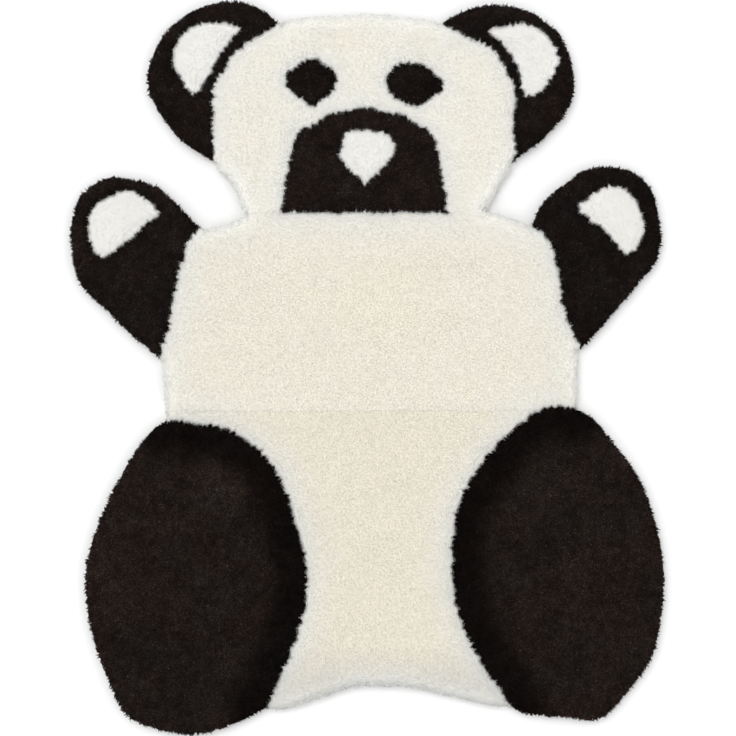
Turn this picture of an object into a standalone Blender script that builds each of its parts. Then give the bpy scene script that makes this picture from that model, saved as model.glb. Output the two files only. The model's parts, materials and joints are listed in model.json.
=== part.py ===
"""A panda-shaped sheepskin rug, sewn edge to edge from seventeen hand-cut pieces of shorn fleece.

Metres, +Z up. The rug lies hide side down on the plane z = 0, with its head towards +Y, and the
origin is under the middle of its bounding box. Left and right are the viewer's, seen from above.

The rug is drawn flat, as shapes of which the later ones lie over the earlier. The lines where two
shapes meet are its seams. Each piece is what shows of one shape, raised to the height of its wool.
"""

import math
from collections import namedtuple

import bmesh
import bpy
import numpy as np
from mathutils import Vector, noise
from mathutils.geometry import delaunay_2d_cdt

# The fleece: shorn wool that rolls down to the hide at the rim and dips a little at each seam.
FLEECE_HEIGHT = 0.025
EDGE_DROP = 0.016
EDGE_ROLL = 0.014
HIDE_INSET = 0.004
HIDE_TAPER = 0.020
SEAM_DIP = 0.003
SEAM_DIP_WIDTH = 0.008
SEAM_GAP = 0.0004
LUMP_HEIGHT = 0.0026
LUMP_SPACING = 0.045
LOCK_DEPTH = 0.0016
LOCK_SPREAD = 0.012

# The cutting: how far the shears stray to either side, and over what length.
STRAY = 0.0010
STRAY_LENGTH = 0.020

# Spacing of the points: on a drawn curve, along a long and a small cut edge, beside the rim or a
# seam, and inside.
FINE_STEP = 0.002
EDGE_STEP = 0.010
SMALL_STEP = 0.006
RIM_ROWS = (0.0035, 0.0105)
SEAM_ROWS = (0.0080,)
ROW_ROOM = 0.0055
INSIDE_STEP = 0.026

# Points of the plan closer than this are one, and a point nearer than its row's share is left out.
MERGE_DISTANCE = 0.001
NEAREST_SHARE = 0.85
CROSSING_PRECISION = 1e-6
SHARP_ANGLE = math.radians(50)

# The cut lines run smoothly through points. A row holds the left and the right piece's point, or
# the points on the left and the right side of one piece in the middle. Where a piece runs on under
# one that is drawn later, the first and the last point are tucked under that one.
Sides = namedtuple("Sides", "left_x left_y right_x right_y")

# Chest and belly: the two sides, from under the head down to the hem.
NECK_Y = 0.191
WAIST_Y = -0.052
SHOULDERS = (
    Sides(-0.120, 0.203, 0.125, 0.196),
    Sides(-0.147, 0.189, 0.158, 0.190),
    Sides(-0.160, 0.181, 0.176, 0.183),
    Sides(-0.184, 0.174, 0.193, 0.178),
    Sides(-0.206, 0.171, 0.203, 0.176),
)
ARMHOLES = (
    Sides(-0.206, 0.171, 0.203, 0.176),
    Sides(-0.221, 0.154, 0.225, 0.154),
    Sides(-0.227, 0.129, 0.232, 0.129),
    Sides(-0.235, 0.098, 0.237, 0.098),
    Sides(-0.242, 0.061, 0.244, 0.064),
    Sides(-0.254, 0.012, 0.262, 0.027),
)
WAIST = (
    Sides(-0.254, 0.012, 0.262, 0.027),
    Sides(-0.250, -0.015, 0.258, 0.003),
    Sides(-0.248, WAIST_Y, 0.258, WAIST_Y),
)
FLANKS = (
    Sides(-0.248, WAIST_Y, 0.258, WAIST_Y),
    Sides(-0.220, -0.240, 0.230, -0.240),
    Sides(-0.134, -0.414, 0.186, -0.412),
)
HEM = (
    Sides(-0.018, -0.391, 0.047, -0.391),
    Sides(-0.045, -0.400, 0.084, -0.399),
    Sides(-0.083, -0.413, 0.121, -0.407),
    Sides(-0.105, -0.419, 0.156, -0.415),
    Sides(-0.122, -0.419, 0.175, -0.417),
    Sides(-0.134, -0.414, 0.186, -0.412),
)

# The head, from its top down to the neck.
HEAD = (
    Sides(-0.027, 0.434, 0.023, 0.434),
    Sides(-0.064, 0.431, 0.048, 0.431),
    Sides(-0.100, 0.427, 0.084, 0.426),
    Sides(-0.129, 0.411, 0.113, 0.411),
    Sides(-0.148, 0.399, 0.141, 0.400),
    Sides(-0.167, 0.382, 0.159, 0.385),
    Sides(-0.176, 0.363, 0.171, 0.364),
    Sides(-0.188, 0.347, 0.180, 0.345),
    Sides(-0.189, 0.300, 0.180, 0.300),
    Sides(-0.188, 0.254, 0.179, 0.253),
    Sides(-0.166, 0.228, 0.164, 0.228),
    Sides(-0.150, NECK_Y, 0.144, NECK_Y),
)

# Ears: the outer edge, from under the top of the head round to under the cheek.
EARS = (
    Sides(-0.098, 0.415, 0.084, 0.419),
    Sides(-0.128, 0.439, 0.121, 0.439),
    Sides(-0.157, 0.449, 0.157, 0.447),
    Sides(-0.193, 0.447, 0.194, 0.440),
    Sides(-0.229, 0.430, 0.220, 0.424),
    Sides(-0.257, 0.396, 0.242, 0.400),
    Sides(-0.270, 0.353, 0.254, 0.352),
    Sides(-0.258, 0.319, 0.248, 0.322),
    Sides(-0.225, 0.278, 0.222, 0.289),
    Sides(-0.188, 0.255, 0.180, 0.255),
    Sides(-0.168, 0.243, 0.160, 0.238),
)

# Ear insides: round from the tip by the top of the head. Paw pads: from the tip by the shoulder.
EAR_INNERS = (
    Sides(-0.157, 0.417, 0.150, 0.415),
    Sides(-0.187, 0.425, 0.170, 0.421),
    Sides(-0.214, 0.419, 0.196, 0.421),
    Sides(-0.234, 0.400, 0.217, 0.411),
    Sides(-0.239, 0.382, 0.233, 0.387),
    Sides(-0.231, 0.362, 0.232, 0.368),
    Sides(-0.221, 0.342, 0.219, 0.346),
    Sides(-0.213, 0.336, 0.198, 0.332),
    Sides(-0.200, 0.353, 0.190, 0.343),
    Sides(-0.190, 0.368, 0.187, 0.363),
    Sides(-0.181, 0.388, 0.175, 0.387),
    Sides(-0.168, 0.404, 0.156, 0.407),
)
PAW_PADS = (
    Sides(-0.255, 0.192, 0.259, 0.198),
    Sides(-0.276, 0.210, 0.270, 0.209),
    Sides(-0.297, 0.218, 0.288, 0.221),
    Sides(-0.318, 0.211, 0.304, 0.223),
    Sides(-0.334, 0.199, 0.323, 0.215),
    Sides(-0.343, 0.178, 0.335, 0.195),
    Sides(-0.340, 0.156, 0.340, 0.175),
    Sides(-0.328, 0.137, 0.332, 0.148),
    Sides(-0.313, 0.141, 0.318, 0.142),
    Sides(-0.287, 0.165, 0.294, 0.166),
    Sides(-0.265, 0.182, 0.264, 0.190),
)

# Arms: the outer edge, from under the shoulder round to under the chest.
ARMS = (
    Sides(-0.190, 0.158, 0.195, 0.160),
    Sides(-0.224, 0.190, 0.216, 0.202),
    Sides(-0.248, 0.215, 0.244, 0.227),
    Sides(-0.267, 0.226, 0.268, 0.243),
    Sides(-0.306, 0.234, 0.296, 0.247),
    Sides(-0.336, 0.226, 0.323, 0.242),
    Sides(-0.357, 0.200, 0.350, 0.217),
    Sides(-0.364, 0.158, 0.360, 0.164),
    Sides(-0.354, 0.110, 0.354, 0.132),
    Sides(-0.342, 0.093, 0.332, 0.104),
    Sides(-0.291, 0.044, 0.292, 0.056),
    Sides(-0.255, 0.013, 0.264, 0.028),
    Sides(-0.237, -0.003, 0.245, 0.010),
)

# Legs: down the outer side from the top, round the foot and up the inner side.
LEGS = (
    Sides(-0.212, -0.066, 0.237, -0.047),
    Sides(-0.248, -0.066, 0.262, -0.052),
    Sides(-0.277, -0.093, 0.294, -0.081),
    Sides(-0.319, -0.166, 0.342, -0.154),
    Sides(-0.345, -0.247, 0.364, -0.252),
    Sides(-0.336, -0.331, 0.351, -0.348),
    Sides(-0.306, -0.409, 0.307, -0.411),
    Sides(-0.282, -0.434, 0.281, -0.431),
    Sides(-0.215, -0.450, 0.237, -0.427),
    Sides(-0.161, -0.434, 0.190, -0.423),
    Sides(-0.125, -0.417, 0.173, -0.410),
    Sides(-0.113, -0.392, 0.156, -0.385),
    Sides(-0.081, -0.314, 0.119, -0.323),
    Sides(-0.074, -0.256, 0.105, -0.262),
    Sides(-0.083, -0.203, 0.109, -0.178),
    Sides(-0.110, -0.129, 0.146, -0.108),
    Sides(-0.160, -0.080, 0.203, -0.057),
)

# Eyes: outwards from the top, round the lower side and up beside the nose.
EYES = (
    Sides(-0.069, 0.380, 0.056, 0.375),
    Sides(-0.086, 0.374, 0.078, 0.367),
    Sides(-0.098, 0.361, 0.091, 0.354),
    Sides(-0.097, 0.344, 0.092, 0.342),
    Sides(-0.078, 0.329, 0.071, 0.327),
    Sides(-0.067, 0.322, 0.056, 0.323),
    Sides(-0.058, 0.328, 0.034, 0.333),
    Sides(-0.041, 0.342, 0.025, 0.346),
    Sides(-0.040, 0.363, 0.026, 0.360),
    Sides(-0.054, 0.375, 0.041, 0.373),
)

# The muzzle and the nose, from the top down. The nose ends in a point.
MUZZLE = (
    Sides(-0.006, 0.321, 0.009, 0.320),
    Sides(-0.027, 0.315, 0.024, 0.314),
    Sides(-0.046, 0.313, 0.048, 0.309),
    Sides(-0.060, 0.302, 0.063, 0.300),
    Sides(-0.074, 0.297, 0.078, 0.289),
    Sides(-0.086, 0.288, 0.085, 0.272),
    Sides(-0.091, 0.272, 0.091, 0.242),
    Sides(-0.101, 0.225, 0.096, 0.212),
    Sides(-0.105, NECK_Y, 0.099, NECK_Y),
)
NOSE = (
    Sides(-0.006, 0.291, 0.013, 0.292),
    Sides(-0.023, 0.292, 0.028, 0.284),
    Sides(-0.031, 0.273, 0.034, 0.270),
    Sides(-0.029, 0.254, 0.026, 0.254),
    Sides(-0.003, 0.226, -0.003, 0.226),
)

# A finish is its name, its colour in linear RGB and its roughness.
IVORY = ("ivory_wool", (0.80, 0.77, 0.66), 0.95)
WHITE = ("white_wool", (0.86, 0.85, 0.78), 0.95)
BLACK = ("black_wool", (0.016, 0.012, 0.010), 0.90)

# A shape is its piece's name, its finish and its closed outline, an array of points. A shape's
# number is its place in the order of drawing.
Shape = namedtuple("Shape", "name finish outline")

# The plan is points, triangles, each triangle's shape by number or -1 for none, the seam edges with
# the two shapes that each joins, and the edges on the rug's own rim.
Plan = namedtuple("Plan", "points faces owners seams rim")


def clear_scene():
    """Removes every object of the startup scene."""
    for found in list(bpy.data.objects):
        bpy.data.objects.remove(found)


def material_of(finish):
    """The material of a finish, made the first time that it is asked for."""
    name, colour, roughness = finish
    made = bpy.data.materials.get(name)
    if made:
        return made
    made = bpy.data.materials.new(name)
    made.use_nodes = True
    shader = made.node_tree.nodes["Principled BSDF"]
    shader.inputs["Base Color"].default_value = (*colour, 1)
    shader.inputs["Roughness"].default_value = roughness
    shader.inputs["Metallic"].default_value = 0
    made.diffuse_color = (*colour, 1)
    return made


def following(points):
    """For each point of a closed outline, the next one."""
    return np.roll(points, -1, axis=0)


def normals_of(outline):
    """A unit normal at each point of a closed outline, all to the same side of it."""
    along = following(outline) - np.roll(outline, 1, axis=0)
    return np.stack([along[:, 1], -along[:, 0]], axis=1) / np.linalg.norm(along, axis=1)[:, None]


def smooth(points, is_loop=False):
    """A Catmull-Rom curve through the points, with a point every FINE_STEP or so."""
    points = np.array(points, float)
    first, last = 2 * points[0] - points[1], 2 * points[-1] - points[-2]
    ends = np.concatenate([points[-1:], points, points[:2]] if is_loop else [[first], points, [last]])
    run = []
    for before, start, end, after in zip(ends, ends[1:], ends[2:], ends[3:]):
        steps = math.ceil(np.linalg.norm(end - start) / FINE_STEP)
        t = np.arange(steps)[:, None] / steps
        bend = (2 * before - 5 * start + 4 * end - after) * t**2
        twist = (3 * start - before - 3 * end + after) * t**3
        run.append(start + 0.5 * ((end - before) * t + bend + twist))
    return np.concatenate([*run, ends[-2:-1]])


def spaced(run, step):
    """The open run with even steps of about the given length, without its last point."""
    lengths = np.linalg.norm(np.diff(run, axis=0), axis=1)
    along = np.concatenate([[0], np.cumsum(lengths)])
    steps = max(1, round(along[-1] / step))
    places = along[-1] * np.arange(steps) / steps
    return np.stack([np.interp(places, along, run[:, i]) for i in (0, 1)], axis=1)


def sheared(run, step=EDGE_STEP):
    """The run as shears leave it: spaced, and straying to both sides but where it starts."""
    points = spaced(run, step)
    strays = [STRAY * noise.noise((x / STRAY_LENGTH, y / STRAY_LENGTH, 0)) for x, y in points]
    strays[0] = 0
    return points + normals_of(points) * np.array(strays)[:, None]


def column(rows, name):
    """The left or the right points of a table."""
    return [(getattr(row, name + "_x"), getattr(row, name + "_y")) for row in rows]


def side(rows, name):
    """The smooth curve through the left or the right points of a table."""
    return smooth(column(rows, name))


def over_the_top(rows):
    """The smooth curve up one piece's left side and down its right side."""
    return smooth(column(rows[::-1], "left") + column(rows, "right"))


def inset_outline(rows, name, step=SMALL_STEP):
    """The closed outline of a piece that nothing covers."""
    return sheared(smooth(column(rows, name), is_loop=True), step)


def tucked_outline(rows, name):
    """The outline of an ear or arm, closed by a straight line under the piece that covers its root."""
    run = side(rows, name)
    return np.concatenate([sheared(run), run[-1:]])


def arched_outline(rows):
    """The outline of the head or muzzle, on the straight seam at the neck."""
    run = over_the_top(rows)
    return np.concatenate([sheared(run), spaced(run[[-1, 0]], EDGE_STEP)])


def chest_outline():
    """The chest, which runs on under the head."""
    down = [sheared(side(rows, "left")) for rows in (SHOULDERS, ARMHOLES, WAIST)]
    waist = np.array([side(WAIST, "left")[-1], side(WAIST, "right")[-1]])
    up = [sheared(side(rows, "right")[::-1]) for rows in (WAIST, ARMHOLES, SHOULDERS)]
    return np.concatenate([*down, spaced(waist, EDGE_STEP), *up, side(SHOULDERS, "right")[:1]])


def belly_outline():
    """The belly, which runs on under the legs."""
    left, right = side(FLANKS, "left"), side(FLANKS, "right")
    waist = np.array([right[0], left[0]])
    runs = [sheared(left), sheared(over_the_top(HEM)), sheared(right[::-1])]
    return np.concatenate([*runs, spaced(waist, EDGE_STEP)])


def both(piece, finish, outline_of, rows, *step):
    """The shapes of a pair of pieces, left and right."""
    names = ("left", "right")
    return [Shape(piece + "_" + name, finish, outline_of(rows, name, *step)) for name in names]


def shapes():
    """The drawn shapes, the later ones over the earlier."""
    return [
        *both("arm", BLACK, tucked_outline, ARMS),
        *both("ear", BLACK, tucked_outline, EARS),
        *both("ear_inner", WHITE, inset_outline, EAR_INNERS),
        *both("paw_pad", WHITE, inset_outline, PAW_PADS),
        Shape("belly", IVORY, belly_outline()),
        Shape("chest", IVORY, chest_outline()),
        *both("leg", BLACK, inset_outline, LEGS, EDGE_STEP),
        Shape("head", IVORY, arched_outline(HEAD)),
        *both("eye", BLACK, inset_outline, EYES),
        Shape("muzzle", BLACK, arched_outline(MUZZLE)),
        Shape("nose", WHITE, sheared(over_the_top(NOSE), SMALL_STEP)),
    ]


def enclosed(points, start, end):
    """Which points the edges enclose that run from each start to its end."""
    x, y = points[:, :1], points[:, 1:]
    crosses = (start[:, 1] < y) != (end[:, 1] < y)
    rise = np.where(end[:, 1] == start[:, 1], 1, end[:, 1] - start[:, 1])
    place = start[:, 0] + (y - start[:, 1]) * (end[:, 0] - start[:, 0]) / rise
    return (crosses & (x < place)).sum(axis=1) % 2 == 1


def owners(points, drawn):
    """For each point, the number of the topmost shape that covers it, or -1."""
    found = np.full(len(points), -1)
    for number, shape in enumerate(drawn):
        found[enclosed(points, shape.outline, following(shape.outline))] = number
    return found


def distances(points, lines):
    """For each point, how far it is from the nearest of the line segments."""
    start, along = lines[:, 0], lines[:, 1] - lines[:, 0]
    away = points[:, None] - start
    share = np.clip((away * along).sum(axis=2) / (along**2).sum(axis=1), 0, 1)
    return np.linalg.norm(away - share[:, :, None] * along, axis=2).min(axis=1)


def triangulated(points, edges):
    """The points and the triangles of a flat mesh that keeps the edges, out to its convex hull."""
    corners = [Vector(point) for point in points]
    kept = [tuple(edge) for edge in edges]
    made = delaunay_2d_cdt(corners, kept, [], 0, CROSSING_PRECISION)
    return np.array(made[0]), np.array(made[2])


def sides_of(faces, face_owners):
    """For each edge of the triangles, the set of the owners on its two sides."""
    beside = {}
    for face, owner in zip(faces, face_owners):
        for edge in zip(face, np.roll(face, 1)):
            beside.setdefault(tuple(sorted(edge)), []).append(owner)
    return {edge: {*found, -1} if len(found) == 1 else set(found) for edge, found in beside.items()}


def cut_lines(drawn):
    """The points and edges of all the lines at which the topmost shape changes."""
    points = np.concatenate([shape.outline for shape in drawn])
    edges = []
    for shape in drawn:
        first, count = len(edges), len(shape.outline)
        edges += [(first + i, first + (i + 1) % count) for i in range(count)]
    points, faces = triangulated(points, edges)
    beside = sides_of(faces, owners(points[faces].mean(axis=1), drawn))
    plan = bmesh.new()
    corners = [plan.verts.new((*point, 0)) for point in points]
    for (start, end), found in beside.items():
        if len(found) > 1:
            plan.edges.new((corners[start], corners[end]))
    loose = [corner for corner in plan.verts if not corner.link_edges]
    bmesh.ops.delete(plan, geom=loose, context="VERTS")
    bmesh.ops.remove_doubles(plan, verts=plan.verts[:], dist=MERGE_DISTANCE)
    plan.verts.index_update()
    points = np.array([corner.co[:2] for corner in plan.verts])
    edges = np.array([[corner.index for corner in edge.verts] for edge in plan.edges])
    plan.free()
    return points, edges


def with_room(kept, found, room):
    """The kept points and, of the found ones, those with room around them."""
    for point in found:
        if not len(kept) or np.linalg.norm(kept - point, axis=1).min() > room:
            kept = np.concatenate([kept, [point]])
    return kept


def points_beside(lines, drawn):
    """Rows of points on the covered sides of the lines, closest on the rug's own rim."""
    along = lines[:, 1] - lines[:, 0]
    across = np.stack([along[:, 1], -along[:, 0]], axis=1) / np.linalg.norm(along, axis=1)[:, None]
    middles = lines.mean(axis=1)
    near = across * RIM_ROWS[0]
    left_covered = owners(middles - near, drawn) >= 0
    right_covered = owners(middles + near, drawn) >= 0
    is_seam = left_covered & right_covered
    kept = np.empty((0, 2))
    for row in sorted(RIM_ROWS + SEAM_ROWS):
        has_row = is_seam == (row in SEAM_ROWS)
        left = (middles - row * across)[has_row & left_covered]
        right = (middles + row * across)[has_row & right_covered]
        found = np.concatenate([left, right])
        found = found[distances(found, lines) > NEAREST_SHARE * row]
        kept = with_room(kept, found, ROW_ROOM)
    return kept


def points_inside(lines, drawn):
    """The points of a staggered grid that are inside the rug and clear of the lines."""
    low, high = lines.min(axis=(0, 1)), lines.max(axis=(0, 1))
    rise = INSIDE_STEP * math.sqrt(3) / 2
    found = []
    for row, y in enumerate(np.arange(low[1], high[1], rise)):
        start = low[0] + (row % 2) * INSIDE_STEP / 2
        found += [(x, y) for x in np.arange(start, high[0], INSIDE_STEP)]
    found = np.array(found)
    return found[(owners(found, drawn) >= 0) & (distances(found, lines) > INSIDE_STEP / 2)]


def flat_plan(drawn):
    """The whole rug as one flat mesh of triangles."""
    points, edges = cut_lines(drawn)
    beside = points_beside(points[edges], drawn)
    filled = with_room(beside, points_inside(points[edges], drawn), INSIDE_STEP / 2)
    points, faces = triangulated(np.concatenate([points, filled]), edges)
    face_owners = owners(points[faces].mean(axis=1), drawn)
    seams, rim = {}, []
    for edge, found in sides_of(faces, face_owners).items():
        if len(found) > 1 and -1 in found:
            rim.append(edge)
        elif len(found) > 1:
            seams[edge] = found
    return Plan(points, faces, face_owners, seams, rim)


def flat_sheet(plan, number):
    """One piece's triangles as a flat sheet, with its sewn edges marked as seams."""
    sheet = bmesh.new()
    faces = plan.faces[plan.owners == number]
    corners = {i: sheet.verts.new((*plan.points[i], 0)) for i in np.unique(faces)}
    for face in faces:
        sheet.faces.new([corners[i] for i in face])
    for (start, end), found in plan.seams.items():
        if number in found:
            sheet.edges.get((corners[start], corners[end])).seam = True
    return sheet


def inward(edge):
    """The flat unit normal of a rim edge, towards the one face beside it."""
    start, end = (corner.co for corner in edge.verts)
    across = (end - start).cross(Vector((0, 0, 1))).normalized()
    middle = edge.link_faces[0].calc_center_median()
    return across if across.dot(middle - start) > 0 else -across


def rim_moves(sheet):
    """For each corner on a sheet's rim, the move that shifts both edges inwards by one metre."""
    moves = {}
    for corner in sheet.verts:
        if corner.is_boundary:
            first, second = (inward(edge) for edge in corner.link_edges if edge.is_boundary)
            moves[corner] = (first + second) / max(0.5, 1 + first.dot(second))
    return moves


def free_corners(sheet):
    """The corners on the rug's own rim that are on no seam."""
    sewn = {corner for edge in sheet.edges if edge.seam for corner in edge.verts}
    return {corner for corner in sheet.verts if corner.is_boundary} - sewn


def corners_in(geometry):
    """The vertices among the elements that an operator made."""
    return [item for item in geometry if isinstance(item, bmesh.types.BMVert)]


def cut_hide(sheet):
    """Notes for each corner its place on the hide, whose rim is set in but for the ends of seams."""
    place = sheet.verts.layers.float_vector.new("hide")
    moves, free = rim_moves(sheet), free_corners(sheet)
    sewn = [corner.co for corner in sheet.verts if corner.is_boundary and corner not in free]
    for corner in sheet.verts:
        corner[place] = corner.co
        if corner in free:
            from_seam = min((corner.co - end).length for end in sewn)
            corner[place] += moves[corner] * HIDE_INSET * min(1, from_seam / HIDE_TAPER)


def cut_locks(sheet):
    """Draws each edge between free corners out to the tip of a lock of wool."""
    free = free_corners(sheet)
    edges = [edge for edge in sheet.edges if edge.is_boundary and free.issuperset(edge.verts)]
    made = bmesh.ops.subdivide_edges(sheet, edges=edges, cuts=1)
    moves = rim_moves(sheet)
    for tip in corners_in(made["geom_inner"]):
        width = sum(edge.calc_length() for edge in tip.link_edges if edge.is_boundary)
        depth = LOCK_DEPTH * (1 + noise.noise(tip.co / LOCK_SPREAD))
        tip.co -= moves[tip] * depth * min(1, width / EDGE_STEP)


def wool_heights(places, on_rim, plan):
    """The height of the wool at each place, which is least on the rug's own rim."""
    depth = np.where(on_rim, 0, distances(places, plan.points[plan.rim]))
    roll = np.clip(1 - depth / EDGE_ROLL, 0, 1)
    from_seam = distances(places, plan.points[list(plan.seams)])
    dip = np.exp(-((from_seam / SEAM_DIP_WIDTH) ** 2))
    lumps = [noise.noise((x / LUMP_SPACING, y / LUMP_SPACING, 1)) for x, y in places]
    drop = EDGE_DROP * (1 - np.sqrt(1 - roll**2)) + SEAM_DIP * dip
    return FLEECE_HEIGHT - drop + LUMP_HEIGHT * np.array(lumps)


def raise_wool(sheet, plan):
    """Raises a copy of the flat sheet to the wool's rounded top. The sheet itself is the hide below."""
    lift = sheet.verts.layers.float.new("lift")
    place = sheet.verts.layers.float_vector["hide"]
    free = free_corners(sheet)
    places = np.array([corner.co[:2] for corner in sheet.verts])
    on_rim = np.array([corner in free for corner in sheet.verts])
    for corner, height in zip(sheet.verts, wool_heights(places, on_rim, plan)):
        corner[lift] = height
    made = bmesh.ops.extrude_face_region(sheet, geom=sheet.faces[:], use_keep_orig=True)
    for top in corners_in(made["geom"]):
        top.co.z = top[lift]
    for corner in sheet.verts:
        if corner.co.z == 0:
            corner.co = corner[place]


def close_hide(sheet):
    """Fills the flat underside anew, between the corners of its rim alone."""
    under = [face for face in sheet.faces if all(corner.co.z == 0 for corner in face.verts)]
    bmesh.ops.delete(sheet, geom=under, context="FACES")
    rim = [corner for corner in sheet.verts if corner.co.z == 0]
    number_of = {corner: number for number, corner in enumerate(rim)}
    open_edges = [edge for edge in sheet.edges if edge.is_boundary]
    edges = np.array([[number_of[corner] for corner in edge.verts] for edge in open_edges])
    points, faces = triangulated(np.array([corner.co[:2] for corner in rim]), edges)
    start, end = points[edges[:, 0]], points[edges[:, 1]]
    for face in faces[enclosed(points[faces].mean(axis=1), start, end)]:
        sheet.faces.new([rim[number] for number in face])
    bmesh.ops.recalc_face_normals(sheet, faces=sheet.faces[:])


def add_piece(shape, sheet, rug):
    """The finished sheet as an object of its own, placed by its middle. Returns its box."""
    corners = np.array([corner.co for corner in sheet.verts])
    box = np.array([corners.min(axis=0), corners.max(axis=0)])
    middle = Vector((*box.mean(axis=0)[:2], 0))
    bmesh.ops.translate(sheet, verts=sheet.verts[:], vec=-middle)
    mesh = bpy.data.meshes.new(shape.name)
    sheet.to_mesh(mesh)
    sheet.free()
    mesh.materials.append(material_of(shape.finish))
    mesh.shade_smooth()
    mesh.set_sharp_from_angle(angle=SHARP_ANGLE)
    made = bpy.data.objects.new(shape.name, mesh)
    made.location = middle
    made.parent = rug
    rug.users_collection[0].objects.link(made)
    return box


def main():
    clear_scene()
    collection = bpy.data.collections.new("sheepskin_rug")
    bpy.context.scene.collection.children.link(collection)
    rug = bpy.data.objects.new("rug_origin", None)
    collection.objects.link(rug)
    drawn = shapes()
    plan = flat_plan(drawn)
    boxes = []
    for number, shape in enumerate(drawn):
        sheet = flat_sheet(plan, number)
        for corner, move in rim_moves(sheet).items():
            corner.co += move * SEAM_GAP / 2
        cut_hide(sheet)
        cut_locks(sheet)
        raise_wool(sheet, plan)
        close_hide(sheet)
        boxes.append(add_piece(shape, sheet, rug))
    boxes = np.array(boxes)
    middle = (boxes[:, 0].min(axis=0) + boxes[:, 1].max(axis=0)) / 2
    rug.location = (-middle[0], -middle[1], 0)


if __name__ == "__main__":
    main()
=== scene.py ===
"""The looks of the panda-shaped sheepskin rug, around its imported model.

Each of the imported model's pieces is replaced by a hide and the shorn wool on it. The wool is a rounded
body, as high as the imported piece, and thousands of short locks that stand on it. At a seam the locks
of both sides lean over it in tufts, and at the rug's rim they splay outwards.
"""

import json
import math
from collections import namedtuple

import bpy
import numpy as np
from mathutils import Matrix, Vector, kdtree, noise
from mathutils.geometry import delaunay_2d_cdt


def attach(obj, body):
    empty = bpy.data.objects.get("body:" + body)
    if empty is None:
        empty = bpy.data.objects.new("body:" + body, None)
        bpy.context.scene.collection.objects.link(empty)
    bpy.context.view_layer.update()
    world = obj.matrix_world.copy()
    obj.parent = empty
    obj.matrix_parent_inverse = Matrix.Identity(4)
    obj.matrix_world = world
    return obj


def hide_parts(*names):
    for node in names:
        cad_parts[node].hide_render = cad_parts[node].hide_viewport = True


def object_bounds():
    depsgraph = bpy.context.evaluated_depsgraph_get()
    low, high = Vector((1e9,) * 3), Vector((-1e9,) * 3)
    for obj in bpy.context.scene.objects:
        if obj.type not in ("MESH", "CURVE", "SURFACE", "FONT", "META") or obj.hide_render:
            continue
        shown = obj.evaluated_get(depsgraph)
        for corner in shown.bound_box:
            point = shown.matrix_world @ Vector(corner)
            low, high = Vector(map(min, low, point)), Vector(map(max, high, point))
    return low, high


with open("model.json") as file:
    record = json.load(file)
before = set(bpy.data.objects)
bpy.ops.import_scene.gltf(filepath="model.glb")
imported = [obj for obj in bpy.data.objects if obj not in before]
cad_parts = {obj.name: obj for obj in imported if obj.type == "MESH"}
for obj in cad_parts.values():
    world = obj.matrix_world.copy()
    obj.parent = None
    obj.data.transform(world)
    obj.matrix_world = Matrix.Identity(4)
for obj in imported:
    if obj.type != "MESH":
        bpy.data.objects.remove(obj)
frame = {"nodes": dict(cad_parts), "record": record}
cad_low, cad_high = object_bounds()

# The wool's height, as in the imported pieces: it rolls down to the hide at the rim and dips at seams,
# but less where two pieces of one colour meet.
FLEECE_HEIGHT = 0.025
EDGE_DROP = 0.016
EDGE_ROLL = 0.014
SEAM_DIP = 0.003
SEAM_DIP_WIDTH = 0.008
PLAIN_DIP = 0.0002
PLAIN_DIP_WIDTH = 0.004
LUMP_HEIGHT = 0.0026
LUMP_SPACING = 0.045

# The hide, and how far it and the wool's body are set in from the tips of the locks at the rim.
HIDE_LOW = 0.0003
HIDE_TOP = 0.0022
HIDE_INSET = 0.0058
BODY_INSET = 0.0020
INSET_TAPER = 0.014

# How high the locks stand on the body, in pale and in dark wool, and how deep their roots are in it.
LOCK_RISE = {False: 0.0018, True: 0.0030}
ROOT_DEPTH = 0.0012

# Staples: the small clumps that the locks draw together in.
STAPLE_SPACING = 0.013
STAPLE_HEIGHT = 0.0005
STAPLE_PULL = 14.0

# Spacing of the points on a cut edge and in the body, and of the locks inside, beside a seam of one
# colour, at the rim and beside a seam with the other colour.
EDGE_STEP = 0.0024
BODY_STEP = 0.0046
LOCK_STEP = 0.0018
PLAIN_STEP = 0.0020
RIM_STEP = 0.0011
SEAM_STEP = 0.0010

# How far inner locks keep from a cut edge and from a seam with the other colour, and how far in the
# locks beside a seam of one colour have their roots.
EDGE_ROOM = 0.0009
CONTRAST_ROOM = 0.0008
PLAIN_INSET = 0.0006

# Seams: how near two pieces' points are at most, how far the hides and bodies reach into the gap, and
# how far the wool of one side leans over the other.
SEAM_REACH = 0.0013
SEAM_FILL = 0.00018
SEAM_SWAY = 0.0032

SEED = 2963
UP_FACING = 0.15
# Wool scatters light, so its slopes shade less than a hard surface's.
SHADING = (0.3, 0.3, 1.0)

# Over what length the wool warms in colour from a cut edge inwards; the cooler tone at the edge is
# painted, the tone of the shade on the rounded edge.
EDGE_TINT = 0.022

# A piece's looks: how warm its colour is, its brightness, and how much darker painted shade makes it
# at a seam with the other colour, where the wool slopes into the seam, over what width and how suddenly.
Looks = namedtuple("Looks", "tint shade dark width power")
LOOKS = {
    "head": Looks(0.66, 1.03, 0.10, 0.007, 1),
    "chest": Looks(0.78, 1.00, 0.10, 0.007, 1),
    "belly": Looks(1.05, 0.97, 0.10, 0.007, 1),
    "ear_inner": Looks(0.60, 1.00, 0.05, 0.005, 1),
    "paw_pad": Looks(0.60, 1.00, 0.05, 0.005, 1),
    "nose": Looks(0.60, 1.00, 0.05, 0.005, 1),
    "leg": Looks(0.48, 1.14, 0.70, 0.044, 5),
    "arm_left": Looks(0.36, 0.92, 0.15, 0.012, 2),
    "arm_right": Looks(0.30, 0.76, 0.15, 0.012, 2),
    "ear": Looks(0.40, 0.86, 0.15, 0.010, 2),
    "eye": Looks(0.55, 0.70, 0.10, 0.006, 2),
    "muzzle": Looks(0.58, 1.04, 0.02, 0.008, 2),
}

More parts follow.
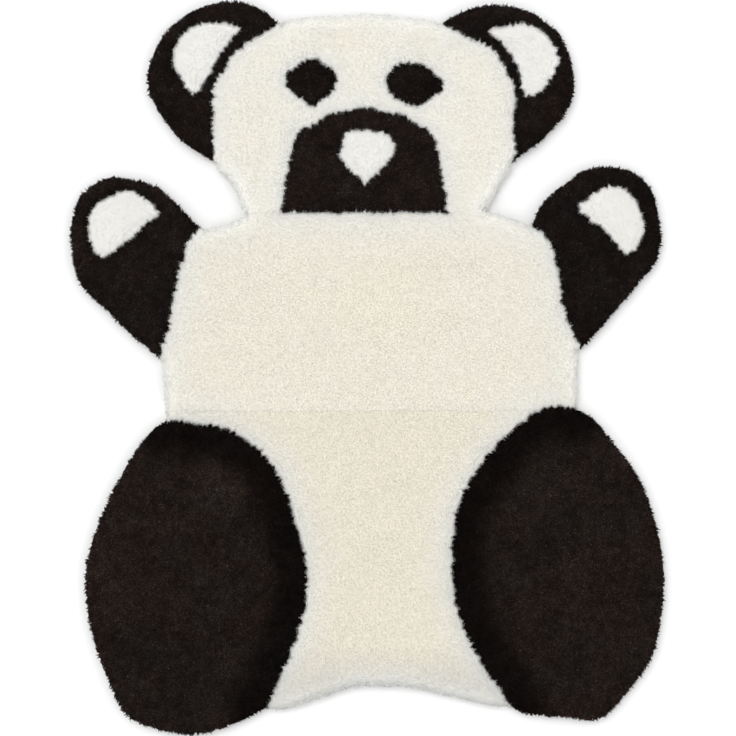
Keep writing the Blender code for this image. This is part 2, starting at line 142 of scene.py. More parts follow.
# Patches of another tone: the middle and radius, and what is added to the warmth and brightness.
Patch = namedtuple("Patch", "x y radius tint shade")
PATCHES = (
    Patch(-0.187, -0.148, 0.034, -0.10, 0.38),
    Patch(-0.310, -0.265, 0.050, 0.50, 0.25),
    Patch(-0.250, -0.390, 0.060, -0.22, 0.00),
    Patch(0.282, -0.288, 0.042, 0.30, 0.12),
    Patch(0.240, -0.150, 0.040, -0.10, 0.10),
    Patch(-0.021, 0.414, 0.030, 0.16, 0.00),
    Patch(0.012, 0.092, 0.050, 0.14, 0.00),
    Patch(-0.009, -0.274, 0.055, 0.10, 0.00),
    Patch(0.165, 0.060, 0.050, -0.08, 0.00),
)
# Painted shade: the belly is made darker towards its lower hem, as for light falling from above the
# head; it is also made less warm there.
HEM_Y = -0.34
HEM_WIDTH = 0.045
HEM_SHADE = 0.12

DARK_SLOT = "black_wool"
slot_of = {part["node"]: part["material_slot"] for part in frame["record"]["subparts"]}


def wander(places, width, seed):
    """A smooth random field from -1 to 1 over the plane, which changes over about the width."""
    table = np.random.default_rng(seed).uniform(-1, 1, (128, 128))
    grid = np.asarray(places)[:, :2] / width
    cell = np.floor(grid).astype(int)
    x, y = (part * part * (3 - 2 * part) for part in (grid - cell).T)
    corner = lambda i, j: table[(cell[:, 0] + i) % 128, (cell[:, 1] + j) % 128]
    low = corner(0, 0) * (1 - x) + corner(1, 0) * x
    high = corner(0, 1) * (1 - x) + corner(1, 1) * x
    return low * (1 - y) + high * y


def unit(vectors):
    """The vectors made one long."""
    return vectors / np.maximum(np.linalg.norm(vectors, axis=-1, keepdims=True), 1e-12)


def tree_of(points):
    """A search tree of flat points."""
    tree = kdtree.KDTree(len(points))
    for number, (x, y) in enumerate(points):
        tree.insert((x, y, 0), number)
    tree.balance()
    return tree


def nearest(tree, points):
    """For each flat point, the step to the tree's nearest one and the length of that step."""
    found = [tree.find((x, y, 0)) for x, y in points]
    steps = np.array([co[:2] for co, _, _ in found]).reshape(-1, 2) - points
    return steps, np.array([far for _, _, far in found])


def top_loops(node):
    """The closed outlines of a node's top from above, outer ones anticlockwise and holes clockwise."""
    mesh = node.data
    mesh.calc_loop_triangles()
    points = np.empty(len(mesh.vertices) * 3)
    mesh.vertices.foreach_get("co", points)
    faces = np.empty(len(mesh.loop_triangles) * 3, int)
    mesh.loop_triangles.foreach_get("vertices", faces)
    _, first, same = np.unique(
        np.round(points.reshape(-1, 3), 6), axis=0, return_index=True, return_inverse=True
    )
    points, faces = points.reshape(-1, 3)[first], same.reshape(-1)[faces].reshape(-1, 3)
    a, b, c = (points[faces[:, i]] for i in range(3))
    normals = unit(np.cross(b - a, c - a))
    ups = faces[normals[:, 2] > UP_FACING]
    edges = {(int(f[i]), int(f[(i + 1) % 3])) for f in ups for i in range(3)}
    after = {start: end for start, end in edges if (end, start) not in edges}
    loops = []
    while after:
        start = min(after)
        run = [start]
        while run[-1] in after:
            run.append(after.pop(run[-1]))
        loops.append(points[run[:-1], :2])
    return loops


def resampled(loop, step):
    """The closed loop with each side cut into even steps."""
    run = []
    for start, end in zip(loop, np.roll(loop, -1, axis=0)):
        steps = max(1, math.ceil(np.linalg.norm(end - start) / step - 0.25))
        run.append(start + (end - start) * np.arange(steps)[:, None] / steps)
    return np.concatenate(run)


def outward(loop):
    """The outward unit normal at each point of a closed loop."""
    along = sum(np.roll(loop, -k, axis=0) - np.roll(loop, k, axis=0) for k in (1, 2))
    return unit(np.stack([along[:, 1], -along[:, 0]], axis=1))


class Cut:
    """One closed cut edge of a piece: its points, which are free, and which meet the other colour."""

    def __init__(self, points, free, contrast):
        self.points, self.free, self.contrast = points, free, contrast
        self.out = outward(points)
        if free.all():
            self.share = np.ones(len(points))
        else:
            sewn = tree_of(points[~free])
            self.share = np.clip(nearest(sewn, points)[1] / INSET_TAPER, 0, 1)

    def inset(self, depth):
        """The points moved inwards at the rim, and out to the neighbouring piece at a seam."""
        inwards = np.where(self.free, depth * self.share, -SEAM_FILL)
        return self.points - self.out * inwards[:, None]

    def strewn(self, step, rng):
        """Places along the edge about a step apart: points, outward normals and edge numbers."""
        following = np.roll(self.points, -1, axis=0)
        lengths = np.linalg.norm(following - self.points, axis=1)
        ends = np.cumsum(lengths)
        count = max(3, round(ends[-1] / step))
        at = (np.arange(count) + rng.uniform(-0.4, 0.4, count)) * ends[-1] / count % ends[-1]
        i = np.minimum(np.searchsorted(ends, at), len(ends) - 1)
        t = ((at - ends[i] + lengths[i]) / np.maximum(lengths[i], 1e-9))[:, None]
        j = (i + 1) % len(self.points)
        points = self.points[i] * (1 - t) + self.points[j] * t
        out = unit(self.out[i] * (1 - t) + self.out[j] * t)
        return points, out, i, j


def drawn(points):
    """The places with the small waver of hand-cut edges."""
    waver = [wander(points, 0.012, 31), wander(points, 0.012, 32)]
    return points + 0.0007 * np.stack(waver, axis=1)


# The cut edges of every piece.
names = sorted(frame["nodes"])
is_dark = {name: slot_of[name] == DARK_SLOT for name in names}
loops = {
    name: [drawn(resampled(loop, EDGE_STEP)) for loop in top_loops(frame["nodes"][name])]
    for name in names
}
all_points = np.concatenate([loop for name in names for loop in loops[name]])
all_owners = np.concatenate(
    [np.full(len(loop), i) for i, name in enumerate(names) for loop in loops[name]]
)
all_dark = np.array([is_dark[name] for name in names])[all_owners]
all_tree = tree_of(all_points)
tree_of_colour = {dark: tree_of(all_points[all_dark == dark]) for dark in (False, True)}
cuts = {}
for i, name in enumerate(names):
    cuts[name] = []
    for loop in loops[name]:
        near = [all_tree.find_range((x, y, 0), EDGE_STEP / 2 + SEAM_REACH) for x, y in loop]
        free = np.array([all(all_owners[n] == i for _, n, _ in found) for found in near])
        # A free point between two sewn ones is a gap in the search, and so the other way round.
        both = np.roll(free, 1) & np.roll(free, -1)
        either = np.roll(free, 1) | np.roll(free, -1)
        free = (free & either) | both
        contrast = ~free & (nearest(tree_of_colour[not is_dark[name]], loop)[1] < 1.5 * EDGE_STEP)
        for _ in range(3):
            middle = (np.roll(loop, 1, axis=0) + np.roll(loop, -1, axis=0)) / 2
            softened = free & both
            loop[softened] += 0.5 * (middle - loop)[softened]
        cuts[name].append(Cut(loop, free, contrast))
every_cut = [cut for name in names for cut in cuts[name]]
rim_tree = tree_of(np.concatenate([cut.points[cut.free] for cut in every_cut]))
contrast_tree = tree_of(np.concatenate([cut.points[cut.contrast] for cut in every_cut]))
plain_tree = tree_of(np.concatenate([cut.points[~cut.free & ~cut.contrast] for cut in every_cut]))

# The staples' middles, on a jittered grid over the whole rug.
staple_rng = np.random.default_rng(SEED)
steps = [np.arange(cad_low[i], cad_high[i], STAPLE_SPACING) for i in (0, 1)]
staples = np.stack(np.meshgrid(*steps), axis=-1).reshape(-1, 2)
staples += staple_rng.uniform(-0.5, 0.5, staples.shape) * STAPLE_SPACING
staple_tree = tree_of(staples)


def lumps_at(places):
    """The soft lumps of the fleece, from -1 to 1."""
    return np.array([noise.noise((x, y, 1)) for x, y in places / LUMP_SPACING])


class Ground:
    """The wool's surface at some places: its height and normal, and how far the edges are."""

    def __init__(self, places):
        self.places = places
        to_rim, self.from_rim = nearest(rim_tree, places)
        to_contrast, self.from_contrast = nearest(contrast_tree, places)
        to_plain, from_plain = nearest(plain_tree, places)
        self.to_staple, from_staple = nearest(staple_tree, places)
        roll = np.clip(1 - self.from_rim / EDGE_ROLL, 0, 0.995)
        rise = np.sqrt(1 - roll**2)
        lumps = lumps_at(places)
        inner = 1 - 0.7 * roll
        small = STAPLE_HEIGHT * (0.5 - from_staple / STAPLE_SPACING)
        self.height = FLEECE_HEIGHT - EDGE_DROP * (1 - rise) + (LUMP_HEIGHT * lumps + small) * inner
        slope = -unit(to_rim) * (EDGE_DROP * roll / (EDGE_ROLL * rise))[:, None]
        dips = (
            (to_contrast, self.from_contrast, SEAM_DIP, SEAM_DIP_WIDTH),
            (to_plain, from_plain, PLAIN_DIP, PLAIN_DIP_WIDTH),
        )
        for step, far, depth, width in dips:
            dip = depth * np.exp(-((far / width) ** 2))
            self.height -= dip
            slope -= unit(step) * (2 * far * dip / width**2)[:, None]
        d = 0.002
        for axis, shift in enumerate(((d, 0), (0, d))):
            slope[:, axis] += LUMP_HEIGHT * inner * (lumps_at(places + shift) - lumps) / d
        self.normal = unit(np.column_stack([-slope, np.ones(len(places))]))


def looks_at(name, ground):
    """How warm and how bright the wool of a piece is at each place."""
    kind = name.removesuffix("_left").removesuffix("_right")
    looks = LOOKS.get(name) or LOOKS[kind]
    places = ground.places
    patch_tint, patch_shade = np.zeros(len(places)), np.zeros(len(places))
    for patch in PATCHES:
        far = np.linalg.norm(places - (patch.x, patch.y), axis=1)
        share = np.exp(-((far / patch.radius) ** 2))
        patch_tint += patch.tint * share
        patch_shade += patch.shade * share
    # Painted shade: the wool is made darker towards a seam with the other colour, where it slopes down
    # into the seam.
    near = np.exp(-((ground.from_contrast / looks.width) ** looks.power))
    shade = looks.shade * (1 - looks.dark * near)
    if is_dark[name]:
        tint = looks.tint + 0.28 * wander(places, 0.032, 81) + 0.18 * wander(places, 0.009, 82)
        tint += 0.40 * np.exp(-ground.from_rim / 0.007)
        shade *= 1 + 0.16 * wander(places, 0.028, 83) + 0.24 * wander(places, 0.009, 84) + patch_shade
        shade *= 1 + 0.30 * wander(places, 0.0035, 85)
        return tint + patch_tint, shade
    # Painted shade: pale wool keeps a cooler tone near a cut edge, standing in for the shade on the
    # rounded edge, and warms inwards.
    inside = 1 - np.exp(-np.minimum(ground.from_rim, ground.from_contrast) / EDGE_TINT)
    tint = (looks.tint + patch_tint) * inside
    tint += 0.07 * wander(places, 0.018, 86) + 0.06 * wander(places, 0.006, 87)
    shade *= 1 + 0.008 * wander(places, 0.016, 88) + 0.012 * wander(places, 0.006, 89)
    # Painted light: pale wool is made paler near the rim, against the shade that falls on the rolled
    # edge.
    shade *= 1 + 0.14 * np.exp(-((ground.from_rim / 0.013) ** 2))
    # Painted shade: darker, and less warm, towards the belly's lower hem.
    low = np.clip((HEM_Y - places[:, 1]) / HEM_WIDTH, 0, 1)
    tint -= 0.25 * low
    return tint, shade * (1 - HEM_SHADE * low)


def enclosed(places, closed_loops):
    """Which places are inside the loops."""
    inside = np.zeros(len(places), bool)
    for loop in closed_loops:
        start, end = loop, np.roll(loop, -1, axis=0)
        for first in range(0, len(places), 4000):
            x, y = places[first : first + 4000, :1], places[first : first + 4000, 1:]
            crosses = (start[:, 1] < y) != (end[:, 1] < y)
            rise = np.where(end[:, 1] == start[:, 1], 1, end[:, 1] - start[:, 1])
            place = start[:, 0] + (y - start[:, 1]) * (end[:, 0] - start[:, 0]) / rise
            inside[first : first + 4000] ^= (crosses & (x < place)).sum(axis=1) % 2 == 1
    return inside


def scattered(closed_loops, step, room, rng):
    """Places on a jittered staggered grid inside the loops, with room to their points."""
    points = np.concatenate(closed_loops)
    low, high = points.min(axis=0), points.max(axis=0)
    rise = step * math.sqrt(3) / 2
    x, y = np.meshgrid(np.arange(low[0], high[0], step), np.arange(low[1], high[1], rise))
    x = x + (np.arange(len(x)) % 2 * step / 2)[:, None]
    places = np.stack([x.ravel(), y.ravel()], axis=1)
    places += rng.uniform(-0.3, 0.3, places.shape) * step
    places = places[enclosed(places, closed_loops)]
    return places[nearest(tree_of(points), places)[1] > room]


def filled(closed_loops, inner):
    """The points and triangles of a flat mesh inside the loops, with the inner points in it."""
    points = np.concatenate([*closed_loops, inner])
    edges, first = [], 0
    for loop in closed_loops:
        count = len(loop)
        edges += [(first + i, first + (i + 1) % count) for i in range(count)]
        first += count
    made = delaunay_2d_cdt([Vector(p) for p in points], edges, [], 0, 1e-7)
    flat, faces = np.array(made[0], float).reshape(-1, 2), np.array(made[2], int)
    return flat, faces[enclosed(flat[faces].mean(axis=1), closed_loops)]


class Mesh:
    """Points, triangles, shading normals and the three values that the materials read."""

    def __init__(self):
        self.points, self.faces, self.normals = [], [], []
        self.depth, self.tint, self.shade = [], [], []
        self.count = 0

    def add(self, points, faces, normals, depth=0.0, tint=0.5, shade=1.0):
        n = len(points)
        self.points.append(points)
        self.faces.append(faces + self.count)
        self.normals.append(normals)
        for kept, value in ((self.depth, depth), (self.tint, tint), (self.shade, shade)):
            kept.append(np.broadcast_to(value, n))
        self.count += n

    def build(self, name, material):
        points, faces = np.concatenate(self.points), np.concatenate(self.faces)
        mesh = bpy.data.meshes.new(name)
        mesh.vertices.add(len(points))
        mesh.vertices.foreach_set("co", points.astype(np.float32).ravel())
        mesh.loops.add(3 * len(faces))
        mesh.loops.foreach_set("vertex_index", faces.astype(np.int32).ravel())
        mesh.polygons.add(len(faces))
        mesh.polygons.foreach_set("loop_start", np.arange(0, 3 * len(faces), 3, dtype=np.int32))
        mesh.polygons.foreach_set("use_smooth", np.ones(len(faces), bool))
        mesh.update(calc_edges=True)
        for key in ("depth", "tint", "shade"):
            layer = mesh.attributes.new(key, "FLOAT", "POINT")
            values = np.concatenate(getattr(self, key)).astype(np.float32)
            layer.data.foreach_set("value", values)
        mesh.validate()
        mesh.normals_split_custom_set_from_vertices(np.concatenate(self.normals))
        mesh.materials.append(material)
        made = bpy.data.objects.new(name, mesh)
        bpy.context.scene.collection.objects.link(made)
        return made


def point_normals(points, faces):
    """A smooth normal at each point."""
    a, b, c = (points[faces[:, i]] for i in range(3))
    across = np.cross(b - a, c - a)
    normals = np.zeros_like(points)
    for i in range(3):
        np.add.at(normals, faces[:, i], across)
    return unit(normals)


def add_body(mesh, name, rng):
    """The wool's rounded body, closed below by a flat face on the hide."""
    rims = [cut.inset(BODY_INSET) for cut in cuts[name]]
    hides = [cut.inset(HIDE_INSET) for cut in cuts[name]]
    inner = scattered(rims, BODY_STEP, BODY_STEP * 0.55, rng)
    flat, faces = filled(rims, inner)
    ground = Ground(flat)
    heights = np.maximum(ground.height - LOCK_RISE[is_dark[name]], HIDE_TOP + 0.002)
    under, under_faces = filled(hides, np.empty((0, 2)))
    points = np.concatenate(
        [np.column_stack([flat, heights]), np.column_stack([under, np.full(len(under), HIDE_TOP)])]
    )
    below = len(flat)
    walls, first = [], 0
    for loop in rims:
        i = first + np.arange(len(loop))
        j = first + (np.arange(len(loop)) + 1) % len(loop)
        walls += [np.stack([j, i, i + below], axis=1), np.stack([j, i + below, j + below], axis=1)]
        first += len(loop)
    faces = np.concatenate([faces, under_faces[:, ::-1] + below, *walls])
    normals = point_normals(points, faces)
    normals[:below] = unit(ground.normal * SHADING)
    tint, shade = (np.concatenate([value, value[: len(under)]]) for value in looks_at(name, ground))
    mesh.add(points, faces, normals, 0.0, tint, shade)


def add_locks(mesh, roots, ways, lengths, widths, curls, lit, looks, rng):
    """Three-sided tapered locks, sunk in the body below them."""
    n = len(roots)
    side = unit(np.cross(ways, unit(rng.normal(size=(n, 3)))))
    other = np.cross(ways, side)
    points, normals = [], []
    for turn in np.radians([0, 120, 240]):
        spoke = math.cos(turn) * side + math.sin(turn) * other
        points.append(roots + spoke * widths[:, None])
        normals.append(unit(0.25 * spoke + lit))
    points.append(roots + lengths[:, None] * (ways + curls))
    normals.append(unit(lit + 0.15 * ways))
    points, normals = np.stack(points, axis=1), np.stack(normals, axis=1)
    faces = np.array([(0, 1, 3), (1, 2, 3), (2, 0, 3)]) + (np.arange(n) * 4)[:, None, None]
    tint, shade, stray = looks
    shade = shade * (1 + stray * rng.normal(0, 1, n).clip(-2, 2))
    mesh.add(
        points.reshape(-1, 3),
        faces.reshape(-1, 3),
        normals.reshape(-1, 3),
        np.tile([0.0, 0.0, 0.0, 1.0], n),
        np.repeat(tint, 4),
        np.repeat(shade, 4),
    )


def lock_looks(name, ground, rng):
    """The looks of a piece's locks, a few of which are paler or darker specks."""
    tint, shade = looks_at(name, ground)
    speck = rng.uniform(size=len(tint))
    if is_dark[name]:
        shade = shade * np.where(speck < 0.010, 2.4, 1)
        return tint, shade, 0.32
    shade = shade * np.where(speck < 0.0008, 0.80, 1)
    return np.where(speck < 0.0008, 2.0, tint), shade, 0.02


def sway_at(name, places):
    """Where the wool of a piece leans over a seam with the other colour, and where it gives way."""
    sway = 0.30 * wander(places, 0.009, 61) + 0.80 * wander(places, 0.0032, 62)
    return -sway if is_dark[name] else sway


def lean_of(places, rng):
    """How the locks lie at each place: a slow drift over the fleece and each lock's own stray."""
    drift = np.stack([wander(places, 0.06, 41), wander(places, 0.06, 42)], axis=1)
    fine = np.stack([wander(places, 0.009, 43), wander(places, 0.009, 44)], axis=1)
    return 0.20 * drift + 0.20 * fine + rng.normal(0, 0.14, (len(places), 2))


def add_inner_locks(mesh, name, rng):
    """Short locks all over the body, some of which lean over the seams of one colour."""
    places = [scattered([cut.points for cut in cuts[name]], LOCK_STEP, EDGE_ROOM, rng)]
    crossing = [np.zeros_like(places[0])]
    for cut in cuts[name]:
        points, out, i, j = cut.strewn(PLAIN_STEP, rng)
        plain = ~cut.free[i] & ~cut.contrast[i] & ~cut.contrast[j]
        places.append((points - out * PLAIN_INSET)[plain])
        crossing.append((out * rng.uniform(0.0, 0.6, (len(out), 1)))[plain])
    places, crossing = np.concatenate(places), np.concatenate(crossing)
    given_way = np.clip(-sway_at(name, places), 0, 1) * SEAM_SWAY
    kept = nearest(contrast_tree, places)[1] > CONTRAST_ROOM + given_way
    places, crossing = places[kept], crossing[kept]
    ground = Ground(places)
    clumped = np.clip(0.45 + 0.9 * wander(places, 0.05, 45), 0, 1)[:, None]
    lean = lean_of(places, rng) + STAPLE_PULL * clumped * ground.to_staple + crossing
    ways = unit(np.column_stack([lean, np.ones(len(places))]) + 0.8 * ground.normal * [1, 1, 0])
    rise = LOCK_RISE[is_dark[name]] + ROOT_DEPTH
    roots = np.column_stack([places, np.maximum(ground.height - rise, HIDE_TOP)])
    lengths = rise * rng.uniform(0.88, 1.06, len(places)) / np.maximum(ways[:, 2], 0.65)
    widths = LOCK_STEP * rng.uniform(0.72, 0.92, len(places))
    curls = rng.normal(size=(len(places), 3)) * (0.18, 0.18, 0.03)
    lit = unit(ground.normal * SHADING)
    add_locks(mesh, roots, ways, lengths, widths, curls, lit, lock_looks(name, ground, rng), rng)


# Rows of locks on the rolled rim, from the top of the roll down to the hide: how far in the tips'
# place is, its height, and the direction of the locks out and up.
RIM_ROWS = (
    (0.0034, 0.0190, 0.55, 0.83),
    (0.0018, 0.0160, 0.75, 0.66),
    (0.0006, 0.0125, 0.92, 0.38),
    (0.0000, 0.0095, 1.00, 0.05),
    (0.0004, 0.0066, 0.97, -0.22),
    (0.0014, 0.0038, 0.90, -0.42),
    (0.0026, 0.0016, 0.85, -0.35),
)

# The rim's outline, in pale and in dark wool: how far it wavers, how far each lock strays from that,
# and how thick the locks are.
RimLooks = namedtuple("RimLooks", "waver stray thick")
RIM_LOOKS = {False: RimLooks(0.0005, 0.0002, 1.5), True: RimLooks(0.0012, 0.0005, 1.0)}


def add_rim_locks(mesh, name, rng):
    """Longer locks that splay out of the rolled rim."""
    waver, stray, thick = RIM_LOOKS[is_dark[name]]
    for inset, height, out_share, up_share in RIM_ROWS:
        for cut in cuts[name]:
            points, out, i, j = cut.strewn(RIM_STEP, rng)
            keep = cut.free[i] & cut.free[j] & (cut.share[i] > 0.1)
            points, out = points[keep], out[keep]
            n = len(points)
            if not n:
                continue
            reach = waver * wander(points, 0.009, 51) + rng.uniform(-stray, stray, n)
            tips = np.column_stack([points + out * (reach - inset)[:, None], np.full(n, height)])
            tips[:, 2] += rng.normal(0, 0.0008, n)
            ways = np.column_stack([out * out_share, np.full(n, up_share)])
            ways = unit(ways + rng.normal(0, 0.11, (n, 3)))
            lengths = rng.uniform(0.0038, 0.0054, n)
            curls = rng.normal(0, 0.07, (n, 3))
            roots = tips - lengths[:, None] * (ways + curls)
            roots[:, 2] = np.maximum(roots[:, 2], HIDE_TOP)
            widths = rng.uniform(0.0007, 0.0011, n) * thick
            lit = unit(np.column_stack([out * 0.3, np.full(n, 1.0 if up_share > 0 else 0.2)]))
            looks = lock_looks(name, Ground(points), rng)
            add_locks(mesh, roots, ways, lengths, widths, curls, lit, looks, rng)
            mesh.points[-1][:, 2] = np.maximum(mesh.points[-1][:, 2], 0.0004)


# Rows of locks along a seam: how far in their roots are, how far over the seam their tips reach at
# least and what the longest add to that, and their radius. The last two rows are thin whiskers.
SeamRow = namedtuple("SeamRow", "inset least more radius")
SEAM_ROWS = (
    SeamRow(0.0004, -0.0002, 0.0018, 0.00075),
    SeamRow(0.0012, -0.0007, 0.0016, 0.00090),
    SeamRow(0.0022, -0.0014, 0.0014, 0.00100),
    SeamRow(0.0005, -0.0004, 0.0040, 0.00038),
    SeamRow(0.0008, -0.0004, 0.0046, 0.00032),
)


def add_seam_locks(mesh, name, rng):
    """Fine locks beside a seam with the other colour, which lean over it in small tufts."""
    for row in SEAM_ROWS:
        for cut in cuts[name]:
            points, out, i, j = cut.strewn(SEAM_STEP, rng)
            points, out = points[cut.contrast[i]], out[cut.contrast[i]]
            n = len(points)
            if not n:
                continue
            sway = sway_at(name, points)
            tooth = rng.uniform(0, 1, n) ** 1.6
            over = SEAM_SWAY * sway + row.least + row.more * tooth
            ground = Ground(points)
            rise = LOCK_RISE[is_dark[name]] + 0.0024
            tops = ground.height + 0.0003 + 0.0010 * sway.clip(0) + rng.uniform(-0.0006, 0.0006, n)
            side = np.column_stack([-out[:, 1], out[:, 0]])
            stray = side * (0.0010 * wander(points, 0.005, 63) + rng.normal(0, 0.0004, n))[:, None]
            tips = np.column_stack([points + out * over[:, None] + stray, tops])
            back = row.inset - 0.0015 * sway.clip(-1, 0)
            roots = np.column_stack([points - out * back[:, None], tops - rise])
            span = tips - roots
            lengths = np.linalg.norm(span, axis=1)
            curls = np.column_stack([out * 0.14, np.full(n, -0.12)]) * rng.uniform(0.3, 1.2, (n, 1))
            ways = span / lengths[:, None] - curls
            widths = row.radius * rng.uniform(0.8, 1.2, n)
            lit = unit(np.column_stack([out * 0.12, np.ones(n)]))
            looks = lock_looks(name, ground, rng)
            add_locks(mesh, roots, ways, lengths, widths, curls, lit, looks, rng)


# Materials.


def node_of(tree, kind, **inputs):
    made = tree.nodes.new(kind)
    for key, value in inputs.items():
        made.inputs[key.replace("_", " ")].default_value = value
    return made


def noise_of(tree, coordinates, scale, detail=2.0, rough=0.5):
    made = node_of(tree, "ShaderNodeTexNoise", Scale=scale, Detail=detail, Roughness=rough)
    tree.links.new(coordinates, made.inputs["Vector"])
    return made.outputs["Fac"]


def ranged(tree, value, low, high, to_low=0.0, to_high=1.0):
    made = tree.nodes.new("ShaderNodeMapRange")
    made.clamp = True
    names = ("From Min", "From Max", "To Min", "To Max")
    for key, number in zip(names, (low, high, to_low, to_high)):
        made.inputs[key].default_value = number
    tree.links.new(value, made.inputs["Value"])
    return made.outputs["Result"]


def mixed(tree, share, first, second, how="MIX"):
    """Mixes two colours, each a socket or a value, by a share, a socket or a number."""
    made = tree.nodes.new("ShaderNodeMix")
    made.data_type, made.blend_type = "RGBA", how
    sockets = [made.inputs[0], made.inputs[6], made.inputs[7]]
    for socket, value in zip(sockets, (share, first, second)):
        if isinstance(value, bpy.types.NodeSocket):
            tree.links.new(value, socket)
        elif isinstance(value, (int, float)):
            socket.default_value = value
        else:
            socket.default_value = (*value, 1)
    return made.outputs[2]


def attribute(tree, name, output="Fac"):
    made = tree.nodes.new("ShaderNodeAttribute")
    made.attribute_name = name
    return made.outputs[output]


def base_material(name, roughness, specular, sheen, sheen_tint):
    made = bpy.data.materials.new(name)
    made.use_nodes = True
    tree = made.node_tree
    shader = tree.nodes["Principled BSDF"]
    shader.inputs["Roughness"].default_value = roughness
    shader.inputs["Specular IOR Level"].default_value = specular
    shader.inputs["Sheen Weight"].default_value = sheen
    shader.inputs["Sheen Roughness"].default_value = 0.6
    shader.inputs["Sheen Tint"].default_value = (*sheen_tint, 1)
    place = tree.nodes.new("ShaderNodeTexCoord").outputs["Object"]
    return made, tree, shader, place


def bumped(tree, shader, height, distance, strength):
    made = node_of(tree, "ShaderNodeBump", Strength=strength, Distance=distance)
    tree.links.new(height, made.inputs["Height"])
    tree.links.new(made.outputs["Normal"], shader.inputs["Normal"])


def scaled(colour, factor):
    return tuple(factor * part for part in colour)


def wool_material(name, cool, warm, root, grain, bump, roughness, specular, sheen, sheen_tint):
    """Wool that is deeper in colour at its roots, in part painted shade deep between the locks, warmer
    inside a piece, and finely grained.
    """
    made, tree, shader, place = base_material(name, roughness, specular, sheen, sheen_tint)
    colour = mixed(tree, ranged(tree, attribute(tree, "tint"), 0.0, 1.5, 0.0, 1.5), cool, warm)
    colour = mixed(tree, 1.0, colour, attribute(tree, "shade", "Color"), "MULTIPLY")
    # Partly painted shade: the roots and the body between the locks are made deeper in colour.
    risen = ranged(tree, attribute(tree, "depth"), 0.0, 0.8)
    colour = mixed(tree, 1.0, colour, mixed(tree, risen, root, (1.0, 1.0, 1.0)), "MULTIPLY")
    fine = noise_of(tree, place, 340.0, 3.0, 0.65)
    own = ranged(tree, fine, 0.30, 0.70, 1 - grain, 1 + grain)
    grey = tree.nodes.new("ShaderNodeCombineColor")
    for socket in grey.inputs:
        tree.links.new(own, socket)
    colour = mixed(tree, 1.0, colour, grey.outputs["Color"], "MULTIPLY")
    tree.links.new(colour, shader.inputs["Base Color"])
    stretched = node_of(tree, "ShaderNodeMapping", Scale=(1.0, 1.0, 0.25))
    tree.links.new(place, stretched.inputs["Vector"])
    fibres = noise_of(tree, stretched.outputs["Vector"], 1500.0, 3.0, 0.6)
    bumped(tree, shader, fibres, 0.0005, bump)
    return made


def hide_material(name, base, dark, roughness):
    """Suede: napped, cloudy, and darker where it is handled."""
    made, tree, shader, place = base_material(name, roughness, 0.15, 0.25, base)
    cloud = noise_of(tree, place, 14.0, 5.0, 0.62)
    nap = noise_of(tree, place, 420.0, 3.0, 0.6)
    colour = mixed(tree, ranged(tree, cloud, 0.32, 0.70), base, dark)
    colour = mixed(tree, ranged(tree, nap, 0.40, 0.75, 0.0, 0.35), colour, scaled(base, 1.18))
    tree.links.new(colour, shader.inputs["Base Color"])
    bumped(tree, shader, nap, 0.0003, 0.5)
    return made


def thread_material(name, base, dark):
    made, tree, shader, place = base_material(name, 0.6, 0.15, 0.1, base)
    twist = noise_of(tree, place, 700.0, 2.0)
    tree.links.new(mixed(tree, twist, dark, base), shader.inputs["Base Color"])
    bumped(tree, shader, twist, 0.0002, 0.5)
    return made


# Each wool's third colour is its root colour, in part painted shade deep between the locks.
wools = {
    "ivory_wool": wool_material(
        "ivory_wool", (0.790, 0.792, 0.772), (0.812, 0.768, 0.664), (0.97, 0.965, 0.94), 0.015, 0.15,
        0.95, 0.10, 0.10, (1.0, 0.99, 0.96),
    ),
    "white_wool": wool_material(
        "white_wool", (0.825, 0.823, 0.808), (0.838, 0.826, 0.770), (0.97, 0.965, 0.95), 0.015, 0.15,
        0.95, 0.10, 0.10, (1.0, 1.0, 0.99),
    ),
    "black_wool": wool_material(
        "black_wool", (0.0205, 0.0168, 0.0150), (0.0240, 0.0150, 0.0116), (0.50, 0.50, 0.50), 0.20, 0.4,
        0.90, 0.04, 0.015, (0.7, 0.55, 0.5),
    ),
}
hides = {
    False: hide_material("pale_hide", (0.66, 0.57, 0.45), (0.55, 0.46, 0.35), 0.9),
    True: hide_material("dark_hide", (0.10, 0.085, 0.075), (0.06, 0.05, 0.045), 0.9),
}
thread = thread_material("linen_thread", (0.62, 0.57, 0.48), (0.40, 0.36, 0.29))


def add_wool(name, number):
    rng = np.random.default_rng([SEED, number])
    mesh = Mesh()
    add_body(mesh, name, rng)
    add_inner_locks(mesh, name, rng)
    add_rim_locks(mesh, name, rng)
    add_seam_locks(mesh, name, rng)
    made = mesh.build(name + "_wool", wools[slot_of[name]])
    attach(made, "root")
    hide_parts(name)
    return made


def add_hide(name, number):
    """The hide under a piece's wool, a flat sheet of suede."""
    rng = np.random.default_rng([SEED, number, 1])
    rims = [cut.inset(HIDE_INSET) for cut in cuts[name]]
    inner = scattered(rims, 0.012, 0.004, rng)
    flat, faces = filled(rims, inner)
    low = np.column_stack([flat, HIDE_LOW + 0.0002 * (1 + wander(flat, 0.02, 71))])
    high = np.column_stack([flat, np.full(len(flat), HIDE_TOP)])
    points = np.concatenate([high, low])
    below, walls, first = len(flat), [], 0
    for loop in rims:
        i = first + np.arange(len(loop))
        j = first + (np.arange(len(loop)) + 1) % len(loop)
        walls += [np.stack([j, i, i + below], axis=1), np.stack([j, i + below, j + below], axis=1)]
        first += len(loop)
    faces = np.concatenate([faces, faces[:, ::-1] + below, *walls])
    mesh = Mesh()
    mesh.add(points, faces, np.zeros_like(points))
    made = mesh.build(name + "_hide", hides[is_dark[name]])
    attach(made, "root")
    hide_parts(name)
    return made


STITCH_STEP = 0.0030
STITCH_RADIUS = 0.00032
STITCH_REACH = 0.004


